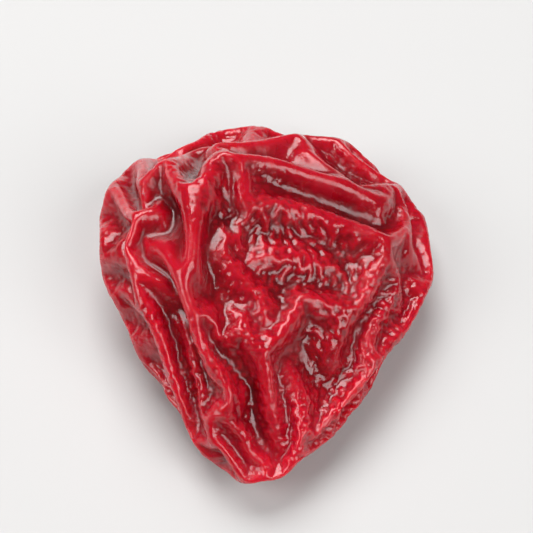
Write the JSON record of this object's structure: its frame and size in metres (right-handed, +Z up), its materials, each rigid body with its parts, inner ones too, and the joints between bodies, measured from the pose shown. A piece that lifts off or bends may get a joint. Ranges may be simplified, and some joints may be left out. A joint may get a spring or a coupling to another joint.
{
  "type": "dried cranberry",
  "caption": "Single dried cranberry: a flattened, tapering piece of berry whose glossy skin has shrunk into flats, lengthwise folds and small wrinkles, hollow underneath.",
  "frame": {"origin": "On the surface that the piece lies on, below the middle of its box", "axes": "+Z up; the pointed stem end is towards -Y and the round end towards +Y, along the length; X is across the piece, with the long lengthwise folds on the -X side"},
  "size_m": [0.0088, 0.0108, 0.0046],
  "materials": {
    "fruit_skin": "glossy translucent ruby fruit skin, bright red where thin and on ridges, dark red in the folds"
  },
  "bodies": {
    "root": {"dried_cranberry": "fruit_skin"}
  },
  "joints": []
}
